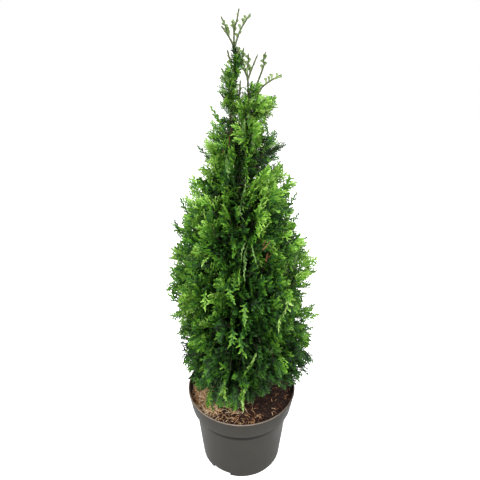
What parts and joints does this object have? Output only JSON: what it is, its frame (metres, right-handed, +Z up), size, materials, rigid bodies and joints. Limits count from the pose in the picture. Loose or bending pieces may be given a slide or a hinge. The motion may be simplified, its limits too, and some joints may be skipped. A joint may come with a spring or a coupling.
{
  "type": "potted thuja",
  "caption": "Young columnar thuja (arborvitae) with trunk, second leader, boughs and foliage masses, in a round nursery pot filled with potting soil.",
  "frame": {"origin": "centre of the pot's flat underside", "axes": "+Z up along the trunk, -Y towards the plant's front, +X to the right seen from the front"},
  "size_m": [0.3061, 0.2924, 0.9005],
  "materials": {
    "pot_plastic": "matte",
    "potting_soil": "matte",
    "bark": "matte",
    "foliage": "matte"
  },
  "bodies": {
    "root": {"bough_01": "bark", "bough_02": "bark", "bough_03": "bark", "bough_04": "bark", "bough_05": "bark", "bough_06": "bark", "bough_07": "bark", "bough_08": "bark", "bough_09": "bark", "bough_10": "bark", "foliage_back": "foliage", "foliage_column_back": "foliage", "foliage_column_left": "foliage", "foliage_crest_side": "foliage", "foliage_crest_upper": "foliage", "foliage_front": "foliage", "foliage_left": "foliage", "foliage_right_high": "foliage", "foliage_right_low": "foliage", "foliage_second_left": "foliage", "foliage_second_right": "foliage", "foliage_tier1_1": "foliage", "foliage_tier1_2": "foliage", "foliage_tier1_3": "foliage", "foliage_tier1_4": "foliage", "foliage_tier1_5": "foliage", "foliage_tier2_1": "foliage", "foliage_tier2_2": "foliage", "foliage_tier2_3": "foliage", "foliage_tier2_4": "foliage", "foliage_tier2_5": "foliage", "foliage_tier2_6": "foliage", "foliage_tier3_1": "foliage", "foliage_tier3_2": "foliage", "foliage_tier3_3": "foliage", "foliage_tier3_4": "foliage", "foliage_tier3_5": "foliage", "foliage_tier3_6": "foliage", "foliage_tier4_1": "foliage", "foliage_tier4_2": "foliage", "foliage_tier4_3": "foliage", "foliage_tier4_4": "foliage", "foliage_tier4_5": "foliage", "foliage_tier5_1": "foliage", "foliage_tier5_2": "foliage", "foliage_tier5_3": "foliage", "foliage_tier5_4": "foliage", "foliage_tier5_5": "foliage", "foliage_tier6_1": "foliage", "foliage_tier6_2": "foliage", "foliage_tier6_3": "foliage", "foliage_tier6_4": "foliage", "foliage_tip_left": "foliage", "foliage_tip_middle": "foliage", "foliage_tip_right": "foliage", "pot": "pot_plastic", "potting_soil": "potting_soil", "second_leader": "bark", "trunk": "bark"}
  },
  "joints": []
}
